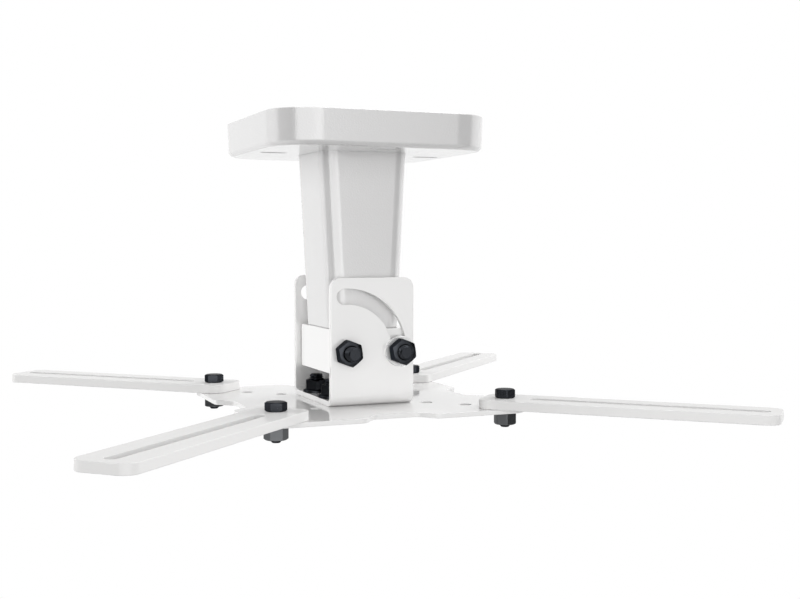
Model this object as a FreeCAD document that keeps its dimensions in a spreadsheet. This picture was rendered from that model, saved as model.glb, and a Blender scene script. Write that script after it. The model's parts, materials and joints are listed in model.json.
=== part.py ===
import FreeCAD, Part
import math
import os
import re

import Sketcher

# Ceiling mount for a projector.
# The origin is the middle of the ceiling face, +Z is up and the front is towards -Y.

doc = FreeCAD.newDocument("projector_mount")

# Driving sizes in millimetres and degrees: alias, value, meaning
SIZES = [
    ("canopy_side", 124.0, "canopy, outside width and depth at the ceiling"),
    ("canopy_height", 19.0, "canopy, ceiling to underside"),
    ("canopy_corner", 25.0, "canopy, corner radius in plan"),
    ("canopy_draft_angle", 2.0, "canopy, slope of its sides"),
    ("canopy_edge", 3.0, "canopy, rounding of the lower edge"),
    ("canopy_sheet", 3.0, "canopy, sheet"),
    ("slot_reach", 46.0, "ceiling slots, distance from the middle"),
    ("slot_length", 15.0, "ceiling slots, end to end"),
    ("slot_width", 6.0, "ceiling slots, width"),
    ("column_top_width", 52.3, "column, width at the top of its flange"),
    ("column_end_width", 41.4, "column, width at the lower end"),
    ("column_depth", 50.0, "column, depth front to back"),
    ("column_corner", 9.0, "column, corner radius"),
    ("column_sheet", 2.5, "column, sheet"),
    ("column_length", 103.5, "column, top of its flange to the lower end"),
    ("flange_side", 70.0, "column flange, outside"),
    ("flange_sheet", 3.0, "column flange, thickness"),
    ("flange_corner", 8.0, "column flange, corner radius"),
    ("window_clearance", 0.3, "gap round the column in the canopy's window"),
    ("foot_depth", 59.4, "foot, outside distance over its cheeks"),
    ("foot_height", 24.5, "foot, height"),
    ("foot_left", 22.0, "foot, middle to the outside of its web"),
    ("foot_right", 24.0, "foot, middle to the free edge of its cheeks"),
    ("foot_sheet", 2.5, "foot, sheet"),
    ("foot_corner", 6.0, "foot, free corner radius"),
    ("bend_radius", 2.5, "folded sheet, inside radius"),
    ("side_clearance", 0.15, "gap between a foot cheek and a yoke cheek"),
    ("yoke_width", 48.8, "yoke, left to right"),
    ("yoke_height", 70.5, "yoke, base to the top of its cheeks"),
    ("yoke_sheet", 3.0, "yoke, sheet"),
    ("yoke_corner", 5.8, "yoke, top corner radius"),
    ("pivot_left", 14.8, "tilt pivot, distance left of the middle"),
    ("pivot_rise", 12.0, "tilt pivot, height over the foot's lower edge"),
    ("pivot_drop", 29.5, "tilt pivot, height over the yoke's lower face"),
    ("tilt_angle", 90.0, "tilt, whole range"),
    ("lock_reach", 30.7, "lock bolt, distance from the pivot"),
    ("lock_gap", 0.3, "lock bolt, gap to each side of its slot"),
    ("lock_spare_angle", 3.3, "arc slot, angle past each end of the range"),
    ("tilt_bolt", 8.0, "tilt bolts, diameter"),
    ("tilt_bolt_length", 78.0, "tilt bolts, length under the head"),
    ("tilt_hex", 13.0, "tilt bolts and nuts, across flats"),
    ("tilt_head", 5.3, "tilt bolts, head height"),
    ("tilt_nut", 6.5, "tilt nuts, height"),
    ("tilt_nut_angle", 8.2, "tilt nuts, turn of a corner past upright"),
    ("tilt_washer", 17.0, "lock washers, outside diameter"),
    ("tilt_washer_sheet", 1.6, "lock washers, thickness"),
    ("pivot_fit", 0.05, "running gap round a hinge bolt"),
    ("thread_gap", 0.05, "gap between a nut and its bolt"),
    ("bolt_hole_gap", 0.25, "gap round a clamping bolt"),
    ("plate_sheet", 2.5, "spider plate, thickness"),
    ("plate_corner", 10.5, "spider plate, corner radius round an arm bolt"),
    ("notch_depth", 9.5, "spider plate, depth of the recess in each side"),
    ("notch_floor", 25.0, "spider plate, length of the recess's floor"),
    ("notch_mouth", 40.0, "spider plate, length of the recess's mouth"),
    ("notch_edge", 5.0, "spider plate, rounding of the recess's corners"),
    ("hole_step", 16.25, "plate holes, step in x and y along a diagonal"),
    ("plate_hole", 7.0, "plate holes, diameter"),
    ("arm_pitch", 130.0, "arm bolts, side of their square"),
    ("arm_width", 30.0, "arm, width"),
    ("arm_sheet", 5.0, "arm, thickness"),
    ("arm_reach", 144.5, "arm, bolt to tip"),
    ("arm_heel", 12.0, "arm, bolt to the inner end"),
    ("arm_corner", 7.0, "arm, corner radius"),
    ("arm_slot_start", 14.0, "arm slot, bolt to the slot's inner end"),
    ("arm_slot_tip", 5.5, "arm slot, outer end to the tip"),
    ("arm_slot_width", 6.5, "arm slot, width"),
    ("arm_bolt", 6.0, "arm bolts, diameter"),
    ("arm_hex", 10.0, "arm bolts, across flats"),
    ("arm_head", 4.8, "arm bolts, head height"),
    ("arm_nut", 7.0, "arm locknuts, height"),
    ("arm_nut_hex", 11.0, "arm locknuts, across flats"),
    ("arm_bolt_spare", 1.5, "arm bolts, end past the nut"),
    ("base_bolt", 8.0, "yoke bolts, diameter"),
    ("base_bolt_x", 34.0, "yoke bolts, spacing left to right"),
    ("base_bolt_y", 27.0, "yoke bolts, spacing front to back"),
    ("base_bolt_spare", 3.3, "yoke bolts, end past the flange nut"),
    ("base_head", 5.3, "yoke bolts, head height"),
    ("base_hex", 13.0, "yoke bolts, across flats"),
    ("flange_nut_hex", 12.0, "flange nuts, across flats"),
    ("flange_nut", 7.2, "flange nuts, height"),
    ("flange_nut_rim", 15.4, "flange nuts, rim diameter"),
    ("flange_nut_skirt", 1.2, "flange nuts, rim thickness"),
    ("hex_face_share", 0.95, "round face of a hex, share of its width"),
    ("hex_slope_angle", 30.0, "hex chamfer, angle from the face"),
    ("tip_chamfer", 1.0, "bolt ends, chamfer"),
]

# Levels, downwards from the ceiling
FLANGE_SEAT = "(canopy_sheet - canopy_height)"
COLUMN_TOP = f"({FLANGE_SEAT} + flange_sheet)"
COLUMN_END = f"({COLUMN_TOP} - column_length)"
FOOT_END = f"({COLUMN_END} - foot_height)"
PIVOT_Z = f"({FOOT_END} + pivot_rise)"
YOKE_END = f"({PIVOT_Z} - pivot_drop)"
PLATE_END = f"({YOKE_END} - plate_sheet)"

# Half distances over the yoke's cheeks, inside and outside
YOKE_INSIDE = "(foot_depth / 2 + side_clearance)"
YOKE_OUTSIDE = f"({YOKE_INSIDE} + yoke_sheet)"

sheet = doc.addObject("Spreadsheet::Sheet", "Sizes")
for row, (alias, value, meaning) in enumerate(SIZES, start=1):
    sheet.set(f"A{row}", meaning)
    sheet.set(f"B{row}", str(value))
    sheet.setAlias(f"B{row}", alias)
doc.recompute()
ALIASES = {alias for alias, value, meaning in SIZES}
sub_parts = []


# Helpers

def bind(target, place, formula):
    """Ties a property or constraint to a formula of the sheet's aliases."""
    linked = re.sub(r"[a-z_]+", lambda word: f"Sizes.{word[0]}" if word[0] in ALIASES else word[0], formula)
    target.setExpression(place, linked)


def place(target, x="0", y="0", z="0", axis=None, angle=0.0):
    """Puts a finished piece at the given formulas, turned about one axis."""
    if axis:
        target.Placement = FreeCAD.Placement(FreeCAD.Vector(), FreeCAD.Rotation(FreeCAD.Vector(*axis), angle))
    for letter, formula in zip("xyz", (x, y, z)):
        bind(target, f"Placement.Base.{letter}", formula)


def keep(target, label):
    """Names a finished piece and lists it for export."""
    target.Label = label
    sub_parts.append(target)
    return target


def new_body(label):
    return keep(doc.addObject("PartDesign::Body", label), label)


def origin_feature(body, role):
    return next(feature for feature in body.Origin.OriginFeatures if feature.Role == role)


def new_sketch(body, name, role, offset="0"):
    """Starts a sketch on one of the body's own planes, raised along the plane's normal."""
    sketch = body.newObject("Sketcher::SketchObject", name)
    sketch.AttachmentSupport = (origin_feature(body, role), "")
    sketch.MapMode = "FlatFace"
    bind(sketch, "AttachmentOffset.Base.z", offset)
    return sketch


def fix_point(sketch, geometry, end, x=None, y=None):
    """Holds one point of a sketch at the formulas x and y from the sketch's origin."""
    here = sketch.getPoint(geometry, end)
    for kind, start, formula in (("DistanceX", here.x, x), ("DistanceY", here.y, y)):
        if formula is not None:
            index = sketch.addConstraint(Sketcher.Constraint(kind, -1, 1, geometry, end, start))
            bind(sketch, f"Constraints[{index}]", formula)


def polygon(sketch, points):
    """Draws a closed outline of straight lines through points given as pairs of formulas."""
    count = len(points)
    rough = [FreeCAD.Vector(step, step * step, 0) for step in range(count)]
    first = sketch.GeometryCount
    for step in range(count):
        sketch.addGeometry(Part.LineSegment(rough[step], rough[(step + 1) % count]), False)
    for step in range(count):
        following = first + (step + 1) % count
        sketch.addConstraint(Sketcher.Constraint("Coincident", first + step, 2, following, 1))
    for step, (x, y) in enumerate(points):
        fix_point(sketch, first + step, 1, x, y)


def rectangle(sketch, left, right, low, high):
    polygon(sketch, [(left, low), (right, low), (right, high), (left, high)])


def circle(sketch, x, y, diameter):
    index = sketch.addGeometry(Part.Circle(FreeCAD.Vector(), FreeCAD.Vector(0, 0, 1), 1.0), False)
    fix_point(sketch, index, 3, x, y)
    size = sketch.addConstraint(Sketcher.Constraint("Diameter", index, 2.0))
    bind(sketch, f"Constraints[{size}]", diameter)


def arc(sketch, x, y, radius, start, end):
    ring = Part.Circle(FreeCAD.Vector(x, y, 0), FreeCAD.Vector(0, 0, 1), radius)
    return sketch.addGeometry(Part.ArcOfCircle(ring, math.radians(start), math.radians(end)), False)


def tangent(sketch, one, one_end, other, other_end):
    sketch.addConstraint(Sketcher.Constraint("Tangent", one, one_end, other, other_end))


def slot(sketch, left, right, y, width):
    """Draws a slot along x; left and right are its extreme ends."""
    start = f"{left} + {width} / 2"
    end = f"{right} - {width} / 2"
    low = sketch.addGeometry(Part.LineSegment(FreeCAD.Vector(-5, -2, 0), FreeCAD.Vector(5, -2, 0)), False)
    high = sketch.addGeometry(Part.LineSegment(FreeCAD.Vector(5, 2, 0), FreeCAD.Vector(-5, 2, 0)), False)
    fix_point(sketch, low, 1, start, f"{y} - {width} / 2")
    fix_point(sketch, low, 2, end, f"{y} - {width} / 2")
    fix_point(sketch, high, 1, end, f"{y} + {width} / 2")
    fix_point(sketch, high, 2, start, f"{y} + {width} / 2")
    for line, other, cap, x in ((low, high, arc(sketch, 5, 0, 2, -90, 90), end),
                                (high, low, arc(sketch, -5, 0, 2, 90, 270), start)):
        sketch.addConstraint(Sketcher.Constraint("Coincident", cap, 1, line, 2))
        sketch.addConstraint(Sketcher.Constraint("Coincident", cap, 2, other, 1))
        fix_point(sketch, cap, 3, x)


def arc_slot(sketch, x, y, reach, width, start, end):
    """Draws a slot along an arc about the point x, y, between two angles."""
    far, half = sheet.lock_reach, sheet.tilt_bolt / 2
    outer = arc(sketch, 0, 0, far + half, 0, 90)
    inner = arc(sketch, 0, 0, far - half, 0, 90)
    end_cap = arc(sketch, 0, far, half, 90, 270)
    start_cap = arc(sketch, far, 0, half, 180, 360)
    centre = FreeCAD.Vector()
    start_ray = sketch.addGeometry(Part.LineSegment(centre, FreeCAD.Vector(far, 0, 0)), True)
    end_ray = sketch.addGeometry(Part.LineSegment(centre, FreeCAD.Vector(0, far, 0)), True)
    fix_point(sketch, outer, 3, x, y)
    for piece in (inner, start_ray, end_ray):
        sketch.addConstraint(Sketcher.Constraint("Coincident", outer, 3, piece, 3 if piece == inner else 1))
    sketch.addConstraint(Sketcher.Constraint("Coincident", start_ray, 2, start_cap, 3))
    sketch.addConstraint(Sketcher.Constraint("Coincident", end_ray, 2, end_cap, 3))
    tangent(sketch, outer, 2, end_cap, 1)
    tangent(sketch, end_cap, 2, inner, 2)
    tangent(sketch, inner, 1, start_cap, 1)
    tangent(sketch, start_cap, 2, outer, 1)
    for constraint, formula in (
        (Sketcher.Constraint("Distance", start_ray, far), reach),
        (Sketcher.Constraint("Radius", start_cap, half), f"{width} / 2"),
        (Sketcher.Constraint("Angle", start_ray, 0.0), f"({start}) * 1deg"),
        (Sketcher.Constraint("Angle", end_ray, math.pi / 2), f"({end}) * 1deg"),
    ):
        index = sketch.addConstraint(constraint)
        bind(sketch, f"Constraints[{index}]", formula)


def pad(body, sketch, length, reverse=False, middle=False):
    feature = body.newObject("PartDesign::Pad", sketch.Name + "_pad")
    feature.Profile = sketch
    feature.Reversed = reverse
    feature.Midplane = middle
    bind(feature, "Length", length)
    doc.recompute()
    return feature


def pocket(body, sketch, length=None):
    """Cuts a sketch into the body on both sides of its plane: over a length, or right through."""
    before = body.Shape.Volume
    feature = body.newObject("PartDesign::Pocket", sketch.Name + "_pocket")
    feature.Profile = sketch
    feature.Midplane = True
    if length:
        bind(feature, "Length", length)
    else:
        feature.Type = "ThroughAll"
    doc.recompute()
    if body.Shape.Volume > before - 1e-3:
        raise RuntimeError(f"{feature.Name} cut nothing")
    return feature


def faces_where(shape, wanted):
    return [f"Face{number}" for number, face in enumerate(shape.Faces, start=1) if wanted(face)]


def fillet(body, name, radius, wanted):
    """Rounds each edge of the body's last feature for which the test wanted holds."""
    base = body.Tip
    names = [f"Edge{number}" for number, edge in enumerate(base.Shape.Edges, start=1) if wanted(edge)]
    if not names:
        raise RuntimeError(f"{name} found no edge")
    feature = body.newObject("PartDesign::Fillet", name)
    feature.Base = (base, names)
    bind(feature, "Radius", radius)
    doc.recompute()
    return feature


def four_times(body, feature):
    """Repeats a cut at the plate's four sides or corners."""
    pattern = body.newObject("PartDesign::PolarPattern", feature.Name + "_pattern")
    pattern.Originals = [feature]
    pattern.Axis = (origin_feature(body, "Z_Axis"), [""])
    pattern.Angle = 360
    pattern.Occurrences = 4
    body.Tip = pattern
    doc.recompute()
    return pattern


def runs_along(edge, axis, slack=0.2):
    """True where a straight edge follows an axis, within a small slope."""
    if not isinstance(edge.Curve, Part.Line):
        return False
    direction = edge.Curve.Direction
    return abs(getattr(direction, axis)) > 1 - slack


def cylinder(name, diameter, height, z="0"):
    piece = doc.addObject("Part::Cylinder", name)
    bind(piece, "Radius", f"({diameter}) / 2")
    bind(piece, "Height", height)
    bind(piece, "Placement.Base.z", z)
    return piece


def cone(name, low_diameter, high_diameter, height, z="0"):
    piece = doc.addObject("Part::Cone", name)
    bind(piece, "Radius1", f"({low_diameter}) / 2")
    bind(piece, "Radius2", f"({high_diameter}) / 2")
    bind(piece, "Height", height)
    bind(piece, "Placement.Base.z", z)
    return piece


def hexagon(name, flats, height, low_chamfer=True):
    """Makes a hex prism standing on z = 0, its corners cut by a cone at the top and the bottom."""
    prism = doc.addObject("Part::Prism", f"{name}_prism")
    prism.Polygon = 6
    bind(prism, "Circumradius", f"{flats} / sqrt(3)")
    bind(prism, "Height", height)
    face = f"{flats} * hex_face_share"
    spread = f"({face} + 2 * {height} / tan(hex_slope_angle * 1deg))"
    shapes = [prism, cone(f"{name}_top", spread, face, height)]
    if low_chamfer:
        shapes.append(cone(f"{name}_bottom", face, spread, height))
    block = doc.addObject("Part::MultiCommon", f"{name}_hex")
    block.Shapes = shapes
    return block


def fuse(name, shapes):
    joined = doc.addObject("Part::MultiFuse", name)
    joined.Shapes = shapes
    joined.Refine = True
    return joined


def cut(name, base, tool):
    result = doc.addObject("Part::Cut", name)
    result.Base = base
    result.Tool = tool
    return result


def hex_bolt(label, diameter, length, flats, head):
    """Makes a bolt whose head stands on z = 0 and whose shank hangs below it."""
    shank = cylinder(f"{label}_shank", diameter, f"{length} - tip_chamfer", f"tip_chamfer - ({length})")
    tip = cone(f"{label}_tip", f"{diameter} - 2 * tip_chamfer", diameter, "tip_chamfer", f"-({length})")
    return keep(fuse(label, [hexagon(label, flats, head), shank, tip]), label)


def hex_nut(label, diameter, flats, height):
    """Makes a nut that stands on z = 0."""
    bore = cylinder(f"{label}_bore", f"{diameter} + 2 * thread_gap", height)
    return keep(cut(label, hexagon(label, flats, height), bore), label)


def flange_nut(label, diameter, flats, height, rim, skirt):
    """Makes a nut with a round flange that stands on z = 0."""
    block = hexagon(label, flats, height, low_chamfer=False)
    disc = cylinder(f"{label}_rim", rim, skirt)
    slope = cone(f"{label}_slope", rim, flats, f"({rim} - {flats}) / 4", skirt)
    body = fuse(f"{label}_solid", [block, disc, slope])
    bore = cylinder(f"{label}_bore", f"{diameter} + 2 * thread_gap", height)
    return keep(cut(label, body, bore), label)


def washer(label, diameter, hole, thickness):
    """Makes a washer that stands on z = 0."""
    disc = cylinder(f"{label}_disc", diameter, thickness)
    return keep(cut(label, disc, cylinder(f"{label}_hole", hole, thickness)), label)


# Canopy: a pressed tray with sloping sides, open towards the ceiling

def make_canopy():
    body = new_body("ceiling_canopy")
    outline = new_sketch(body, "canopy_outline", "XY_Plane")
    rectangle(outline, "-canopy_side / 2", "canopy_side / 2", "-canopy_side / 2", "canopy_side / 2")
    pad(body, outline, "canopy_height", reverse=True)
    block = fillet(body, "canopy_corners", "canopy_corner", lambda edge: runs_along(edge, "z"))
    draft = body.newObject("PartDesign::Draft", "canopy_slope")
    draft.Base = (block, faces_where(block.Shape, lambda face: abs(face.normalAt(0, 0).z) < 0.5))
    draft.NeutralPlane = (origin_feature(body, "XY_Plane"), [""])
    draft.Reversed = True
    bind(draft, "Angle", "canopy_draft_angle")
    doc.recompute()
    shell = body.newObject("PartDesign::Thickness", "canopy_shell")
    shell.Base = (draft, faces_where(draft.Shape, lambda face: face.BoundBox.ZMin > -1e-3))
    shell.Reversed = True
    shell.Join = "Intersection"
    bind(shell, "Value", "canopy_sheet")
    doc.recompute()
    low = -sheet.canopy_height
    fillet(body, "canopy_lower_edge", "canopy_edge",
           lambda edge: max(corner.Z for corner in edge.Vertexes) < low + 1e-3)
    window = new_sketch(body, "canopy_window", "XY_Plane")
    half_width = "(column_top_width / 2 + window_clearance)"
    half_depth = "(column_depth / 2 + window_clearance)"
    rectangle(window, f"-{half_width}", half_width, f"-{half_depth}", half_depth)
    pocket(body, window)
    fillet(body, "canopy_window_corners", "column_corner",
           lambda edge: runs_along(edge, "z") and edge.BoundBox.XMax < sheet.column_top_width
           and abs(edge.BoundBox.Center.x) < sheet.column_top_width / 2 + 2 * sheet.window_clearance
           and abs(edge.BoundBox.Center.y) < sheet.column_depth / 2 + 2 * sheet.window_clearance)
    slots = new_sketch(body, "canopy_slots", "XY_Plane")
    for x, y in (("-slot_reach", "0"), ("slot_reach", "0"), ("0", "-slot_reach"), ("0", "slot_reach")):
        slot(slots, f"{x} - slot_length / 2", f"{x} + slot_length / 2", y, "slot_width")
    pocket(body, slots)


# Column: a tube that tapers from left to right only; its flange seats on the canopy's floor

def column_outline(body, name, inset):
    """Draws the tube seen from the front."""
    sketch = new_sketch(body, name, "XZ_Plane")
    half_top = f"(column_top_width / 2 - {inset})"
    half_end = f"(column_end_width / 2 - {inset})"
    polygon(sketch, [
        (f"-{half_end}", COLUMN_END), (half_end, COLUMN_END), (half_top, COLUMN_TOP), (f"-{half_top}", COLUMN_TOP),
    ])
    return sketch


def make_column():
    body = new_body("column")
    pad(body, column_outline(body, "column_outside", "0"), "column_depth", middle=True)
    plate = new_sketch(body, "column_flange", "XY_Plane", FLANGE_SEAT)
    rectangle(plate, "-flange_side / 2", "flange_side / 2", "-flange_side / 2", "flange_side / 2")
    pad(body, plate, "flange_sheet")
    pocket(body, column_outline(body, "column_bore", "column_sheet"), "column_depth - 2 * column_sheet")
    outside = sheet.column_depth / 2
    for name, radius, y in (
        ("column_inner_corners", "column_corner - column_sheet", outside - sheet.column_sheet),
        ("column_outer_corners", "column_corner", outside),
        ("column_flange_corners", "flange_corner", sheet.flange_side / 2),
    ):
        fillet(body, name, radius,
               lambda edge: runs_along(edge, "z") and abs(abs(edge.BoundBox.Center.y) - y) < 1e-3)


# Foot: a U folded round the back of the pivot, closed at the top where the column stands on it

def make_foot():
    body = new_body("column_foot")
    outline = new_sketch(body, "foot_outline", "XY_Plane", FOOT_END)
    out_y = "(foot_depth / 2)"
    in_y = "(foot_depth / 2 - foot_sheet)"
    web = "(foot_sheet - foot_left)"
    polygon(outline, [
        ("-foot_left", f"-{out_y}"), ("foot_right", f"-{out_y}"), ("foot_right", f"-{in_y}"), (web, f"-{in_y}"),
        (web, in_y), ("foot_right", in_y), ("foot_right", out_y), ("-foot_left", out_y),
    ])
    pad(body, outline, "foot_height")
    left = -sheet.foot_left
    inner = left + sheet.foot_sheet
    fillet(body, "foot_outer_bends", "bend_radius + foot_sheet",
           lambda edge: runs_along(edge, "z") and abs(edge.BoundBox.Center.x - left) < 1e-3)
    fillet(body, "foot_inner_bends", "bend_radius",
           lambda edge: runs_along(edge, "z") and abs(edge.BoundBox.Center.x - inner) < 1e-3)
    low = body.Shape.BoundBox.ZMin
    fillet(body, "foot_free_corners", "foot_corner",
           lambda edge: runs_along(edge, "y") and edge.BoundBox.ZMax < low + 1e-3
           and edge.BoundBox.XMin > sheet.foot_right - 1e-3)
    cap = new_sketch(body, "foot_cap", "XY_Plane", COLUMN_END)
    rectangle(cap, web, "foot_right", f"-{in_y}", in_y)
    pad(body, cap, "foot_sheet", reverse=True)
    holes = new_sketch(body, "foot_bolt_holes", "XZ_Plane")
    for x in ("-pivot_left", "lock_reach - pivot_left"):
        circle(holes, x, PIVOT_Z, "tilt_bolt + 2 * bolt_hole_gap")
    pocket(body, holes)


# Yoke: a U folded from one sheet, an arc slot in each cheek

def make_yoke():
    body = new_body("tilt_yoke")
    profile = new_sketch(body, "yoke_profile", "YZ_Plane")
    top = f"({YOKE_END} + yoke_height)"
    floor = f"({YOKE_END} + yoke_sheet)"
    polygon(profile, [
        (f"-{YOKE_OUTSIDE}", YOKE_END), (YOKE_OUTSIDE, YOKE_END), (YOKE_OUTSIDE, top), (YOKE_INSIDE, top),
        (YOKE_INSIDE, floor), (f"-{YOKE_INSIDE}", floor), (f"-{YOKE_INSIDE}", top), (f"-{YOKE_OUTSIDE}", top),
    ])
    pad(body, profile, "yoke_width", middle=True)
    low = body.Shape.BoundBox.ZMin
    high = body.Shape.BoundBox.ZMax
    inside = low + sheet.yoke_sheet
    fillet(body, "yoke_outer_bends", "bend_radius + yoke_sheet",
           lambda edge: runs_along(edge, "x") and edge.BoundBox.ZMax < low + 1e-3)
    fillet(body, "yoke_inner_bends", "bend_radius",
           lambda edge: runs_along(edge, "x") and abs(edge.BoundBox.Center.z - inside) < 1e-3)
    fillet(body, "yoke_top_corners", "yoke_corner",
           lambda edge: runs_along(edge, "y") and edge.BoundBox.ZMin > high - 1e-3)
    pivot = new_sketch(body, "yoke_pivot", "XZ_Plane")
    circle(pivot, "-pivot_left", PIVOT_Z, "tilt_bolt + 2 * pivot_fit")
    pocket(body, pivot)
    arcs = new_sketch(body, "yoke_arc_slot", "XZ_Plane")
    arc_slot(arcs, "-pivot_left", PIVOT_Z, "lock_reach", "(tilt_bolt + 2 * lock_gap)",
             "-lock_spare_angle", "tilt_angle + lock_spare_angle")
    pocket(body, arcs)
    holes = new_sketch(body, "yoke_base_holes", "XY_Plane", YOKE_END)
    for x, y in base_bolt_places():
        circle(holes, x, y, "base_bolt + 2 * bolt_hole_gap")
    pocket(body, holes)


def base_bolt_places():
    return [(f"{x}base_bolt_x / 2", f"{y}base_bolt_y / 2") for x in ("-", "") for y in ("-", "")]


# Spider plate: a square with a round corner about each arm bolt and a shallow recess in each side

def make_plate():
    body = new_body("spider_plate")
    outline = new_sketch(body, "plate_outline", "XY_Plane", PLATE_END)
    half = "(arm_pitch / 2 + plate_corner)"
    rectangle(outline, f"-{half}", half, f"-{half}", half)
    pad(body, outline, "plate_sheet")
    fillet(body, "plate_corners", "plate_corner", lambda edge: runs_along(edge, "z"))
    notch = new_sketch(body, "plate_notch", "XY_Plane", PLATE_END)
    floor = f"({half} - notch_depth)"
    past = f"({half} + notch_depth)"
    run = "((notch_mouth - notch_floor) / 2)"
    polygon(notch, [
        (floor, "-notch_floor / 2"), (floor, "notch_floor / 2"),
        (past, f"notch_mouth / 2 + {run}"), (past, f"-(notch_mouth / 2 + {run})"),
    ])
    four_times(body, pocket(body, notch))
    radius = sheet.arm_pitch / 2
    fillet(body, "plate_notch_edges", "notch_edge",
           lambda edge: runs_along(edge, "z") and min(abs(edge.BoundBox.Center.x), abs(edge.BoundBox.Center.y)) < radius)
    diagonal = new_sketch(body, "plate_diagonal_holes", "XY_Plane", PLATE_END)
    for step in range(3):
        place_xy = f"arm_pitch / 2 - {step} * hole_step"
        circle(diagonal, place_xy, place_xy, "plate_hole")
    four_times(body, pocket(body, diagonal))
    base = new_sketch(body, "plate_base_holes", "XY_Plane", PLATE_END)
    for x, y in base_bolt_places():
        circle(base, x, y, "base_bolt + 2 * bolt_hole_gap")
    pocket(body, base)


# Arms: slotted flat bars on top of the plate, each with the bolt it turns on

ARMS = [("front_left", "-", "-", 225), ("back_left", "-", "", 135),
        ("front_right", "", "-", 315), ("back_right", "", "", 45)]


def make_arm(side, x_sign, y_sign, angle):
    body = new_body(f"arm_{side}")
    outline = new_sketch(body, f"arm_{side}_outline", "XY_Plane")
    rectangle(outline, "-arm_heel", "arm_reach", "-arm_width / 2", "arm_width / 2")
    pad(body, outline, "arm_sheet")
    fillet(body, f"arm_{side}_corners", "arm_corner", lambda edge: runs_along(edge, "z"))
    opening = new_sketch(body, f"arm_{side}_slot", "XY_Plane")
    slot(opening, "arm_slot_start", "(arm_reach - arm_slot_tip)", "0", "arm_slot_width")
    circle(opening, "0", "0", "arm_bolt + 2 * pivot_fit")
    pocket(body, opening)
    place(body, f"{x_sign}arm_pitch / 2", f"{y_sign}arm_pitch / 2", YOKE_END, (0, 0, 1), angle)


def make_arm_fasteners(side, x_sign, y_sign, angle):
    x = f"{x_sign}arm_pitch / 2"
    y = f"{y_sign}arm_pitch / 2"
    grip = "(arm_sheet + plate_sheet + arm_nut + arm_bolt_spare)"
    bolt = hex_bolt(f"arm_bolt_{side}", "arm_bolt", grip, "arm_hex", "arm_head")
    place(bolt, x, y, f"{YOKE_END} + arm_sheet", (0, 0, 1), angle)
    nut = hex_nut(f"arm_nut_{side}", "arm_bolt", "arm_nut_hex", "arm_nut")
    place(nut, x, y, f"{PLATE_END} - arm_nut", (0, 0, 1), angle)


# Fasteners of the tilt joint: heads at the back, nuts at the front

def make_tilt_fasteners():
    for name, x, washers in (("pivot", "-pivot_left", 0), ("lock", "lock_reach - pivot_left", 1)):
        stack = f"({YOKE_OUTSIDE} + {washers} * tilt_washer_sheet)"
        bolt = hex_bolt(f"tilt_{name}_bolt", "tilt_bolt", "tilt_bolt_length", "tilt_hex", "tilt_head")
        place(bolt, x, stack, PIVOT_Z, (1, 0, 0), -90)
        nut = hex_nut(f"tilt_{name}_nut", "tilt_bolt", "tilt_hex", "tilt_nut")
        turn = FreeCAD.Rotation(FreeCAD.Vector(0, 0, 1), sheet.tilt_nut_angle + 90)
        place(nut, x, f"-{stack}", PIVOT_Z)
        upright = FreeCAD.Rotation(FreeCAD.Vector(1, 0, 0), 90)
        nut.Placement = FreeCAD.Placement(nut.Placement.Base, upright.multiply(turn))
    lock_x = "lock_reach - pivot_left"
    for end, y in (("front", f"-{YOKE_OUTSIDE}"), ("back", f"({YOKE_OUTSIDE} + tilt_washer_sheet)")):
        ring = washer(f"tilt_lock_washer_{end}", "tilt_washer", "tilt_bolt + 2 * bolt_hole_gap", "tilt_washer_sheet")
        place(ring, lock_x, y, PIVOT_Z, (1, 0, 0), 90)


# Fasteners that clamp the yoke on the plate: heads below, flange nuts inside the yoke

def make_base_fasteners():
    length = "(plate_sheet + yoke_sheet + flange_nut + base_bolt_spare)"
    for number, (x, y) in enumerate(base_bolt_places(), start=1):
        bolt = hex_bolt(f"yoke_bolt_{number}", "base_bolt", length, "base_hex", "base_head")
        place(bolt, x, y, PLATE_END, (1, 0, 0), 180)
        nut = flange_nut(f"yoke_flange_nut_{number}", "base_bolt", "flange_nut_hex", "flange_nut",
                         "flange_nut_rim", "flange_nut_skirt")
        place(nut, x, y, f"{YOKE_END} + yoke_sheet", (0, 0, 1), 15.0)


make_canopy()
make_column()
make_foot()
make_yoke()
make_plate()
make_tilt_fasteners()
make_base_fasteners()
for arm in ARMS:
    make_arm(*arm)
    make_arm_fasteners(*arm)
doc.recompute()

# Checks, then one file for each piece
for item in doc.Objects:
    if "Invalid" in item.State or "Error" in item.State:
        raise RuntimeError(f"{item.Name} failed: {item.State}")
for item in sub_parts:
    if item.Shape.isNull() or not item.Shape.isValid():
        raise RuntimeError(f"{item.Label} has no valid shape")
os.makedirs("parts", exist_ok=True)
for item in sub_parts:
    item.Shape.exportStep(os.path.join("parts", f"{item.Label}.step"))
    print(item.Label, round(item.Shape.Volume), len(item.Shape.Solids))
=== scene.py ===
# %% [markdown]
# # A ceiling mount for a projector
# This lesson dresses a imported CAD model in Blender. The mount is all sheet metal and bolts: a
# pressed canopy, a tapered column, a folded yoke that tilts, and a flat plate with swinging arms.
# The CAD model gives every place and size. Here each piece is drawn again as a surface that numpy
# works out, so that it gets what the solids leave out: soft sheet edges, screw threads and paint.

# %% Load the frame
import json
import math

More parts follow.
